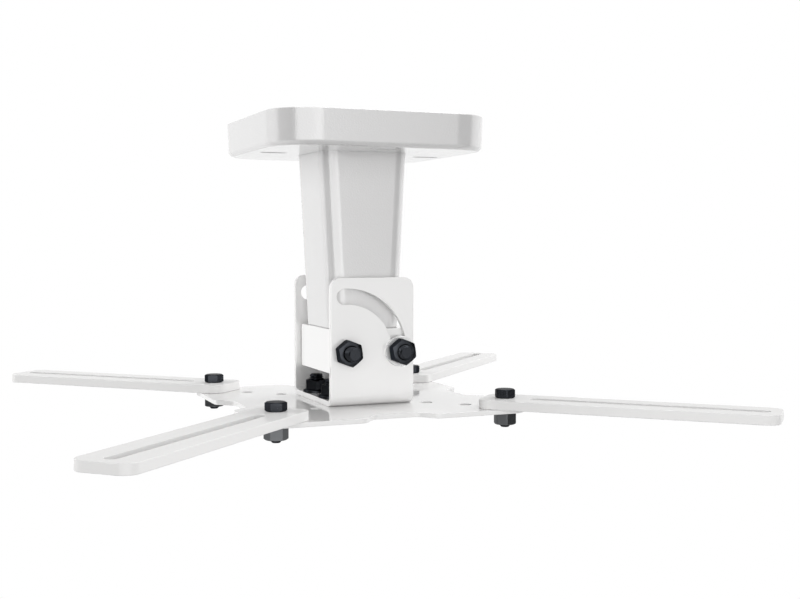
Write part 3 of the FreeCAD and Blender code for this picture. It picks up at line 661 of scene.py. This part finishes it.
def close_rows(rows, ends=True):
    """A skin of stacked rows, with flat ends or, without ends, joined round a bore."""
    skin = Skin()
    ids = skin.add(np.stack(rows))
    skin.strip(ids, close_rows=not ends)
    if ends:
        skin.fan(ids[0])
        skin.fan(ids[-1])
    return skin


print("thread depth", THREAD_DEPTH, "of the pitch")

# %% [markdown]
# Bolts are cold headed and their threads rolled; nuts are pressed and then tapped, a flange nut in one
# piece with its flange. Each is one stack of rows here: a bolt runs from its tip up to its head, and a
# nut runs over its outside and back through its bore, so that it closes like a ring.

# %% Bolts and nuts
BOLT_TIP, THREAD_END, HEAD_FILLET = 1.0, 0.2, 0.3
SINK_WIDTH, SINK_DEPTH = 0.5, 0.4
FLANGE_ROUND, FLANGE_TOP_ROUND, FLANGE_CONE = 0.2, 0.15, 0.5
WASHER_ROUND = 0.25


def hex_bolt(radius, pitch, length, threaded, flats, head):
    """A bolt with its head on zero and its shank below: rows of thread, plain shank and hexagon."""
    rows = thread_rows(radius, pitch, -length, -length + threaded, BOLT_TIP)
    rows += [circle_row(radius, -length + threaded + THREAD_END), circle_row(radius, -HEAD_FILLET),
             circle_row(radius + HEAD_FILLET, 0)]
    return close_rows(rows + hex_rows(flats, 0.0, head))


def bore_rows(radius, low, high):
    """A bore from its upper mouth down to its lower one, countersunk at both."""
    return [circle_row(radius + SINK_WIDTH, high), circle_row(radius, high - SINK_DEPTH),
            circle_row(radius, low + SINK_DEPTH), circle_row(radius + SINK_WIDTH, low)]


def hex_nut(radius, flats, height):
    """A nut that stands on zero: the hexagon's rows, then the bore's, joined into a ring."""
    return close_rows(hex_rows(flats, 0.0, height) + bore_rows(radius, 0.0, height), ends=False)


def flange_nut(radius, flats, height, rim, skirt):
    """A nut with a round flange: the flange's cone rises to the hexagon at half the slope of its width."""
    hexagon = hex_radius(flats)
    meet = skirt + (rim - hexagon) * FLANGE_CONE
    rows = [circle_row(rim - FLANGE_ROUND, 0), circle_row(rim, FLANGE_ROUND),
            circle_row(rim, skirt - FLANGE_ROUND), circle_row(rim - FLANGE_TOP_ROUND, skirt)]
    rows += [polar_row(hexagon, meet)] + hex_rows(flats, skirt, height, low_chamfer=False)[1:]
    return close_rows(rows + bore_rows(radius, 0.0, height), ends=False)


def washer(radius, bore, thickness):
    """A punched ring with rounded edges: rows round its section, from the bore out and back."""
    soft = WASHER_ROUND
    rows = [circle_row(bore + soft, 0), circle_row(radius - soft, 0), circle_row(radius, soft),
            circle_row(radius, thickness - soft), circle_row(radius - soft, thickness),
            circle_row(bore + soft, thickness), circle_row(bore, thickness - soft), circle_row(bore, soft)]
    return close_rows(rows, ends=False)


print("fasteners close over a tip of", BOLT_TIP, "mm")

# %% [markdown]
# The fasteners go where the CAD model has them. The tilt bolts run from back to front, so their skins
# are drawn along z and laid down; the nuts at the front stand on the yoke's cheek with a corner near the
# top, as the photograph shows. Washers bridge the arc slots, so that the lock bolt can clamp the cheeks.

# %% Place the tilt fasteners
TILT_RADIUS, TILT_PITCH, TILT_LENGTH, TILT_THREAD = 4.0, 1.25, 78.0, 26.0
TILT_FLATS, TILT_HEAD, TILT_NUT = 13.0, 5.3, 6.5
THREAD_GAP, NUT_TURN = 0.05, 98.2
WASHER_RADIUS, WASHER_SHEET = 8.5, 1.6
for part, x in (("pivot", PIVOT_X), ("lock", LOCK_X)):
    bolt_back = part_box(f"tilt_{part}_bolt")[1][1] / MM - TILT_HEAD
    nut_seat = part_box(f"tilt_{part}_nut")[1][1] / MM
    bolt = hex_bolt(TILT_RADIUS, TILT_PITCH, TILT_LENGTH, TILT_THREAD, TILT_FLATS, TILT_HEAD)
    make_piece(f"tilt_{part}_bolt", bolt, "ceiling_bracket",
               turned("x", -90, (x, bolt_back, PIVOT_Z)))
    nut = hex_nut(TILT_RADIUS + THREAD_GAP, TILT_FLATS, TILT_NUT)
    nut.points = turned("z", NUT_TURN, (0, 0, 0))(nut.points)
    make_piece(f"tilt_{part}_nut", nut, "ceiling_bracket",
               turned("x", 90, (x, nut_seat, PIVOT_Z)))
for end in ("front", "back"):
    washer_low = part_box(f"tilt_lock_washer_{end}")[1][1] / MM
    ring_skin = washer(WASHER_RADIUS, FOOT_HOLE_RADIUS, WASHER_SHEET)
    make_piece(f"tilt_lock_washer_{end}", ring_skin, "ceiling_bracket",
               turned("x", 90, (LOCK_X, washer_low, PIVOT_Z)))

# %% [markdown]
# Four bolts come up through the plate and the yoke's base, and flange nuts hold them inside the yoke.
# The flange spreads the load as a washer would, so no loose washers are needed.

# %% Place the yoke's fasteners
BASE_RADIUS, BASE_PITCH, BASE_FLATS, BASE_HEAD, BASE_PLAIN = 4.0, 1.25, 13.0, 5.3, 2.0
FLANGE_NUT_FLATS, FLANGE_NUT_HEIGHT, FLANGE_NUT_TURN = 12.0, 7.2, 15
FLANGE_NUT_RIM, FLANGE_NUT_SKIRT = 7.7, 1.2
for number, (x, y) in enumerate(base_bolts, start=1):
    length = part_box(f"yoke_bolt_{number}")[1][2] / MM - plate_low
    bolt = hex_bolt(BASE_RADIUS, BASE_PITCH, length, length - BASE_PLAIN, BASE_FLATS, BASE_HEAD)
    make_piece(f"yoke_bolt_{number}", bolt, "tilting_head",
               turned("x", 180, (x, y, plate_low)))
    nut = flange_nut(BASE_RADIUS + THREAD_GAP, FLANGE_NUT_FLATS, FLANGE_NUT_HEIGHT,
                     FLANGE_NUT_RIM, FLANGE_NUT_SKIRT)
    make_piece(f"yoke_flange_nut_{number}", nut, "tilting_head",
               turned("z", FLANGE_NUT_TURN, (x, y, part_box(f"yoke_flange_nut_{number}")[0][2] / MM)))

# %% [markdown]
# Each arm turns on its own bolt, with a locknut below the plate. In the photograph the head of one of
# the four stands at another angle, so the turn is looked up by corner.

# %% Place the arms' fasteners
ARM_RADIUS, ARM_PITCH, ARM_FLATS, ARM_HEAD, ARM_THREAD = 3.0, 1.0, 10.0, 4.8, 8.5
ARM_NUT_FLATS, ARM_NUT_HEIGHT = 11.0, 7.0
HEAD_TURN = {"back_left": 22.0}
for corner, (side_x, side_y, heading) in CORNERS.items():
    place_x, place_y = side_x * ARM_BOLT, side_y * ARM_BOLT
    seat_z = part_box("arm_" + corner)[1][2] / MM
    arm_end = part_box("arm_bolt_" + corner)[0][2] / MM
    bolt = hex_bolt(ARM_RADIUS, ARM_PITCH, seat_z - arm_end, ARM_THREAD, ARM_FLATS, ARM_HEAD)
    make_piece("arm_bolt_" + corner, bolt, "tilting_head",
               turned("z", heading + HEAD_TURN.get(corner, 0.0), (place_x, place_y, seat_z)))
    nut_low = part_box("arm_nut_" + corner)[0][2] / MM
    nut = hex_nut(ARM_RADIUS + THREAD_GAP, ARM_NUT_FLATS, ARM_NUT_HEIGHT)
    make_piece("arm_nut_" + corner, nut, "tilting_head",
               turned("z", heading, (place_x, place_y, nut_low)))

# %% [markdown]
# ## Finishes
# Three effects are shared: a fine grain of the powder coat, a patchy mask of the rounded sheet edges,
# which the finishes use for painted highlights and darker edges, and faint handling marks. Each is a
# node group with named inputs, built once and placed in each material with its own values. The groups
# only put out values, and the shader stays in the material.

# %% Node helpers
def new_group(name, inputs, output):
    """An empty shader group with one float output; an input without a value is a vector."""
    group = bpy.data.node_groups.new(name, "ShaderNodeTree")
    for label, value in inputs.items():
        kind = "NodeSocketVector" if value is None else "NodeSocketFloat"
        socket = group.interface.new_socket(label, in_out="INPUT", socket_type=kind)
        if value is not None:
            socket.default_value = value
    group.interface.new_socket(output, in_out="OUTPUT", socket_type="NodeSocketFloat")
    print("group", name, "puts out", output)
    return group, group.nodes.new("NodeGroupInput"), group.nodes.new("NodeGroupOutput")


def new_node(tree, kind, **values):
    """A node with its settings; a name that is an input's takes the value there."""
    made = tree.nodes.new(kind)
    for key, value in values.items():
        if key in made.inputs:
            made.inputs[key].default_value = value
        else:
            setattr(made, key, value)
    return made


def join(tree, source, output, target, label):
    """Links a node's output to another node's input."""
    tree.links.new(source.outputs[output], target.inputs[label])


def math_node(tree, operation, first, second):
    """A math node on two values, each a socket or a number."""
    made = new_node(tree, "ShaderNodeMath", operation=operation)
    for index, value in enumerate((first, second)):
        if isinstance(value, (int, float)):
            made.inputs[index].default_value = value
        else:
            tree.links.new(value, made.inputs[index])
    return made.outputs[0]


# %% [markdown]
# Powder melts into a skin that keeps a faint orange peel. Noise alone looks like sand, and cells alone
# look like scales, so the height is half of each.

# %% Powder grain group
GRAIN_SHARE = 0.5
grain, grain_in, grain_out = new_group("powder_grain", {"Vector": None, "Scale": 900.0}, "Height")
fine = new_node(grain, "ShaderNodeTexNoise", Detail=2.0, Roughness=0.5)
cells = new_node(grain, "ShaderNodeTexVoronoi", feature="SMOOTH_F1")
for texture in (fine, cells):
    join(grain, grain_in, "Vector", texture, "Vector")
    join(grain, grain_in, "Scale", texture, "Scale")
blend = math_node(grain, "ADD", math_node(grain, "MULTIPLY", fine.outputs[0], GRAIN_SHARE),
                  math_node(grain, "MULTIPLY", cells.outputs["Distance"], GRAIN_SHARE))
grain.links.new(blend, grain_out.inputs["Height"])

# %% [markdown]
# The skins carry an edge mark on their roundings, and patchy noise breaks it up, because an even line
# would look drawn on. The finishes mix an edge colour in there: a painted highlight where it is lighter,
# on the textured white and the oxide steels, and a darker tone on the smooth whites and the zinc.

# %% Edge tone group
edge_tone, edge_tone_in, edge_tone_out = new_group("edge_tone_mask", {"Vector": None, "Edge": 0.0, "Amount": 0.5}, "Mask")
patches = new_node(edge_tone, "ShaderNodeTexNoise", Scale=140.0, Detail=3.0)
join(edge_tone, edge_tone_in, "Vector", patches, "Vector")
mask = math_node(edge_tone, "MULTIPLY", math_node(edge_tone, "MULTIPLY", edge_tone_in.outputs["Edge"], patches.outputs[0]),
                 edge_tone_in.outputs["Amount"])
edge_tone.links.new(mask, edge_tone_out.inputs["Mask"])

# %% [markdown]
# Fingers leave a film that dulls the gloss in soft clouds. The clouds only move the roughness between
# two values, so they show in reflections and not as stains.

# %% Handling marks group
marks, marks_in, marks_out = new_group("handling_marks", {"Vector": None, "Low": 0.2, "High": 0.3},
                                       "Roughness")
smear = new_node(marks, "ShaderNodeTexNoise", Scale=22.0, Detail=4.0, Distortion=0.4)
join(marks, marks_in, "Vector", smear, "Vector")
spread = new_node(marks, "ShaderNodeMapRange", **{"From Min": 0.3, "From Max": 0.7})
join(marks, smear, 0, spread, "Value")
join(marks, marks_in, "Low", spread, "To Min")
join(marks, marks_in, "High", spread, "To Max")
join(marks, spread, 0, marks_out, "Roughness")

# %% [markdown]
# White powder coat comes in two kinds here: a fine textured one on the canopy and the column, and a
# smooth glossy one on the folded and flat parts. The shader's clear coat stays smooth over the bump of
# the paint below it, so on the textured parts it gets more roughness, and bands mirrored there have
# soft edges. How much the foot, yoke, plate and arms mirror was found by comparing renders with the
# photograph. The smooth coat is one paint, but its base colour is painted a little lighter on the yoke
# and the plate and a little darker on the arms, as painted light and shade. The bolts are black oxide
# steel, the arms' locknuts a greyer one, and the lock bolt's washers bright zinc.

# %% Finish maker
GRAIN_HEIGHT = 0.0002


def placed(tree, group, vector, **values):
    """Places a group in a material, fed with the object's own coordinates."""
    made = tree.nodes.new("ShaderNodeGroup")
    made.node_tree = group
    for label, value in values.items():
        made.inputs[label].default_value = value
    tree.links.new(vector, made.inputs["Vector"])
    return made


def new_material(name, values):
    """A material whose shader sockets take the given values, with its node tree and its shader."""
    material = bpy.data.materials.new(name)
    material.use_nodes = True
    shader = material.node_tree.nodes["Principled BSDF"]
    for label, value in values.items():
        shader.inputs[label].default_value = value
    return material, material.node_tree, shader


def finish(name, colour, edge_colour, roughness, grain_scale, bump, edge_amount, metallic=0.0, tint=1.0,
           ior=1.5, specular=0.5, coat=0.0, coat_ior=1.5, coat_roughness=0.06):
    """A material: colour mixed with the edge colour on patchy roundings, roughness by handling, bump by grain.
    """
    material, tree, shader = new_material(name, {
        "Metallic": metallic, "Specular Tint": (tint, tint, tint, 1), "IOR": ior,
        "Specular IOR Level": specular, "Coat Weight": coat, "Coat IOR": coat_ior,
        "Coat Roughness": coat_roughness})
    where = tree.nodes.new("ShaderNodeTexCoord").outputs["Object"]
    grit = placed(tree, grain, where, Scale=grain_scale)
    edge = placed(tree, edge_tone, where, Amount=edge_amount)
    mark = new_node(tree, "ShaderNodeAttribute", attribute_name="edge")
    join(tree, mark, "Fac", edge, "Edge")
    smudge = placed(tree, marks, where, Low=roughness[0], High=roughness[1])
    # The mix paints the edge colour on the patchy roundings: a painted highlight where it is lighter than the
    # base.
    paint = new_node(tree, "ShaderNodeMix", data_type="RGBA")
    paint.inputs["A"].default_value = (*colour, 1)
    paint.inputs["B"].default_value = (*edge_colour, 1)
    join(tree, edge, "Mask", paint, "Factor")
    join(tree, paint, "Result", shader, "Base Color")
    join(tree, smudge, "Roughness", shader, "Roughness")
    relief = new_node(tree, "ShaderNodeBump", Strength=bump, Distance=GRAIN_HEIGHT)
    join(tree, grit, "Height", relief, "Height")
    join(tree, relief, "Normal", shader, "Normal")
    print("finish", name)
    return material


# %% [markdown]
# Each finish is one row of values. What the smooth coats or the dark steels share is written once.

# %% Finishes
# Edge colours lighter than the base, on the textured white and the steels, are painted highlights; the smooth
# whites and the zinc get a darker edge.
SMOOTH = {"edge_colour": (0.80, 0.80, 0.80), "roughness": (0.05, 0.09), "grain_scale": 500.0, "bump": 0.02,
          "edge_amount": 0.35}
OXIDE = {"grain_scale": 900.0, "bump": 0.15, "edge_amount": 0.6, "metallic": 1.0}
FINISHES = {
    "textured_white": finish("textured_white_coat", (0.655, 0.65, 0.65), edge_colour=(0.72, 0.72, 0.72),
                             roughness=(0.10, 0.16), grain_scale=1300.0, bump=0.55, edge_amount=0.3,
                             ior=1.9, coat=1.0, coat_roughness=0.20),
    "gloss_white": finish("gloss_white_coat", (0.84, 0.835, 0.83), **SMOOTH, ior=1.8, coat=1.0),
    # The yoke's and the plate's base whites are painted a little lighter and the arms' a little darker than the
    # foot's, as light and shade.
    "yoke_white_lit": finish("yoke_white_coat", (0.85, 0.845, 0.84), **SMOOTH, ior=1.8, coat=1.0, coat_ior=2.0),
    "plate_white_lit": finish("plate_white_coat", (0.86, 0.855, 0.85), **SMOOTH, specular=0.0, coat=1.0),
    "arm_white_shaded": finish("arm_white_coat", (0.815, 0.81, 0.805), **SMOOTH, specular=0.0, coat=0.35),
    "grey_steel": finish("grey_oxide_steel", (0.13, 0.134, 0.14), edge_colour=(0.14, 0.145, 0.15),
                         roughness=(0.32, 0.44), **OXIDE, tint=0.5),
    "black_steel": finish("black_oxide_steel", (0.040, 0.043, 0.049), edge_colour=(0.08, 0.085, 0.095),
                          roughness=(0.22, 0.32), **OXIDE, tint=0.38),
    "zinc": finish("bright_zinc", (0.80, 0.80, 0.80), edge_colour=(0.6, 0.6, 0.6), roughness=(0.25, 0.38),
                   grain_scale=700.0, bump=0.1, edge_amount=0.3, metallic=0.6),
}

# %% [markdown]
# The frame names a slot for each CAD node, and a few nodes have a finish of their own within it. The
# finish goes on the CAD node and on its skin.

# %% Coat every piece
slot_of = {entry["node"]: entry["material_slot"] for entry in frame["record"]["subparts"]}
# The yoke and the plate get lighter copies of the smooth white and the arms a darker one: painted light and
# shade on one coat.
OWN_FINISH = {"spider_plate": "plate_white_lit", "tilt_yoke": "yoke_white_lit"}
OWN_FINISH.update({"arm_" + corner: "arm_white_shaded" for corner in CORNERS})
OWN_FINISH.update({"arm_nut_" + corner: "grey_steel" for corner in CORNERS})
for cad_node, cad_object in frame["nodes"].items():
    coat_of_node = FINISHES[OWN_FINISH.get(cad_node, slot_of[cad_node])]
    cad_object.data.materials.clear()
    cad_object.data.materials.append(coat_of_node)
    bpy.data.objects[cad_node + "_skin"].data.materials.append(coat_of_node)
print(len(frame["nodes"]), "nodes coated")

# %% [markdown]
# ## Studio
# The mount hangs in front of plain white. A pale floor lies below it, the world is white to the camera
# and to mirrors, and large soft lamps give the left sides the most light.

# %% Floor
FLOOR_LEVEL, FLOOR_RADIUS, FLOOR_STEPS = -0.62, 0.8, 96
floor_turn = np.linspace(0, 2 * math.pi, FLOOR_STEPS, endpoint=False)
floor_ring = np.stack([FLOOR_RADIUS * np.cos(floor_turn), FLOOR_RADIUS * np.sin(floor_turn),
                       np.full(FLOOR_STEPS, FLOOR_LEVEL)], axis=1)
floor_mesh = bpy.data.meshes.new("studio_floor")
floor_mesh.from_pydata(floor_ring.tolist(), [], [list(range(FLOOR_STEPS))])
floor = add_object("studio_floor", floor_mesh)
print("floor at", FLOOR_LEVEL)

# %% [markdown]
# The floor glows just enough to be white where nothing shades it, so the mount's soft shadow stays on it,
# and a little more towards its rim, where it melts into the backdrop. Only the camera, mirrors and glass
# see the glow, which Light Path tells apart. From below the floor is clear, because a ceiling mount is
# mostly seen from there.

# %% Floor paint
FLOOR_GREY, FLOOR_ROUGHNESS = 0.28, 0.9
MIDDLE_GLOW, RIM_GLOW, RIM_START = 0.655, 0.80, 0.35


def seen_directly(tree):
    """1 for rays from the camera, a mirror or glass, and 0 for the light that falls on things."""
    rays = tree.nodes.new("ShaderNodeLightPath")
    mirrors = math_node(tree, "MAXIMUM", rays.outputs["Is Camera Ray"], rays.outputs["Is Glossy Ray"])
    return math_node(tree, "MAXIMUM", mirrors, rays.outputs["Is Transmission Ray"])


floor_paint, floor_tree, floor_shader = new_material("studio_floor_white", {
    "Base Color": (FLOOR_GREY, FLOOR_GREY, FLOOR_GREY, 1), "Roughness": FLOOR_ROUGHNESS,
    "Emission Color": (1, 1, 1, 1)})
floor_place = floor_tree.nodes.new("ShaderNodeTexCoord")
reach = new_node(floor_tree, "ShaderNodeVectorMath", operation="DISTANCE")
join(floor_tree, floor_place, "Object", reach, 0)
reach.inputs[1].default_value = (0, 0, FLOOR_LEVEL)
glow = new_node(floor_tree, "ShaderNodeMapRange", interpolation_type="SMOOTHSTEP",
                **{"From Min": RIM_START, "From Max": FLOOR_RADIUS,
                   "To Min": MIDDLE_GLOW, "To Max": RIM_GLOW})
join(floor_tree, reach, "Value", glow, "Value")
floor_tree.links.new(math_node(floor_tree, "MULTIPLY", seen_directly(floor_tree), glow.outputs[0]),
                     floor_shader.inputs["Emission Strength"])
floor_side = floor_tree.nodes.new("ShaderNodeNewGeometry")
clear = floor_tree.nodes.new("ShaderNodeBsdfTransparent")
one_way = floor_tree.nodes.new("ShaderNodeMixShader")
join(floor_tree, floor_side, "Backfacing", one_way, "Fac")
join(floor_tree, floor_shader, "BSDF", one_way, 1)
join(floor_tree, clear, "BSDF", one_way, 2)
floor_tree.links.new(one_way.outputs["Shader"], floor_tree.nodes["Material Output"].inputs["Surface"])
floor_mesh.materials.append(floor_paint)
print("floor glows", MIDDLE_GLOW, "to", RIM_GLOW)

# %% [markdown]
# The world has two strengths: full white for what is seen, and a weaker fill for what it lights. One
# strength for both would wash out the shading of the white paint.

# %% World
WORLD_FILL = 0.36
world = bpy.data.worlds.new("studio_world")
bpy.context.scene.world = world
world.use_nodes = True
world_tree = world.node_tree
backdrop = world_tree.nodes["Background"]
backdrop.inputs["Color"].default_value = (1, 1, 1, 1)
level = new_node(world_tree, "ShaderNodeMapRange", **{"To Min": WORLD_FILL, "To Max": 1.0})
world_tree.links.new(seen_directly(world_tree), level.inputs["Value"])
join(world_tree, level, 0, backdrop, "Strength")
print("world fill", WORLD_FILL)

# %% [markdown]
# Soft boxes stand round the mount as in a studio for product pictures. Three are hidden from mirrors, so
# they light the paint without a white patch in the gloss. Their powers were set by comparing grey levels.

# %% Lamps
def round_place(azimuth, distance, height):
    """A place round the mount: the azimuth runs from the front towards the left."""
    turn = math.radians(azimuth)
    return (-distance * math.sin(turn), -distance * math.cos(turn), height)


def soft_lamp(name, place, width, height, power, mirrored=True):
    """An area lamp that looks at the mount's middle: tilt and turn follow from the direction to it."""
    data = bpy.data.lights.new(name, "AREA")
    data.shape = "RECTANGLE"
    data.size, data.size_y = width, height
    data.energy = power
    lamp = add_object(name, data)
    lamp.location = place
    lamp.visible_glossy = mirrored
    direction = np.asarray(MIDDLE, float) - np.asarray(place, float)
    lamp.rotation_euler = (math.atan2(math.hypot(direction[0], direction[1]), -direction[2]), 0,
                           math.atan2(direction[1], direction[0]) - math.pi / 2)
    print(name, "at", tuple(round(value, 2) for value in place))


MIDDLE = (0.0, 0.0, -0.09)
soft_lamp("front_left_box", round_place(19, 1.7, 0.02), 2.3, 1.5, 12.5)
soft_lamp("left_back_box", round_place(122, 1.8, 0.1), 0.8, 1.4, 24.0, mirrored=False)
soft_lamp("right_back_box", round_place(-105, 1.8, 0.25), 0.8, 1.4, 25.0, mirrored=False)
soft_lamp("top_box", (0.4, 0.1, 1.5), 1.4, 1.4, 11.5)
soft_lamp("front_fill", round_place(-2, 2.2, -0.05), 0.6, 0.6, 10.0, mirrored=False)

# %% [markdown]
# White on white needs dark screens: photographers stand them just outside the picture, so that round
# edges mirror a dark band and don't melt into the background. Two are upright arcs about the mount, and
# a paler one lies flat under it. Only mirrors see them, so they take no light away.

# %% Dark screens
SCREEN_STEPS, SCREEN_DARK, SCREEN_PALE = 24, 0.03, 0.3
UPRIGHT, FLAT = ((1.3, -0.5), (1.3, 0.8)), ((0.02, -0.5), (1.2, -0.5))


def dark_screen(name, first, last, grey, edges):
    """A band between two azimuths: each edge is a radius times sine and cosine, at its height."""
    turn = np.radians(np.linspace(first, last, SCREEN_STEPS))
    points = np.concatenate([np.stack([-radius * np.sin(turn), -radius * np.cos(turn),
                                       np.full(SCREEN_STEPS, height)], axis=1) for radius, height in edges])
    left = np.arange(SCREEN_STEPS - 1)
    quads = np.stack([left, left + 1, left + SCREEN_STEPS + 1, left + SCREEN_STEPS], axis=1)
    mesh = bpy.data.meshes.new(name)
    mesh.from_pydata(points.tolist(), [], quads.tolist())
    cloth = new_material(name + "_cloth", {"Base Color": (grey, grey, grey, 1), "Roughness": 1.0})
    mesh.materials.append(cloth[0])
    screen = add_object(name, mesh)
    for kind in ("camera", "diffuse", "transmission", "volume_scatter", "shadow"):
        setattr(screen, "visible_" + kind, False)
    print(name, first, "to", last, "degrees")


dark_screen("left_screen", 54, 100, SCREEN_DARK, UPRIGHT)
dark_screen("right_screen", -72, -28.5, SCREEN_DARK, UPRIGHT)
dark_screen("floor_screen", -80, 60, SCREEN_PALE, FLAT)

# %% [markdown]
# ## View transform
# The render uses the Standard view transform.

# %% Finish
bpy.context.scene.view_settings.view_transform = "Standard"
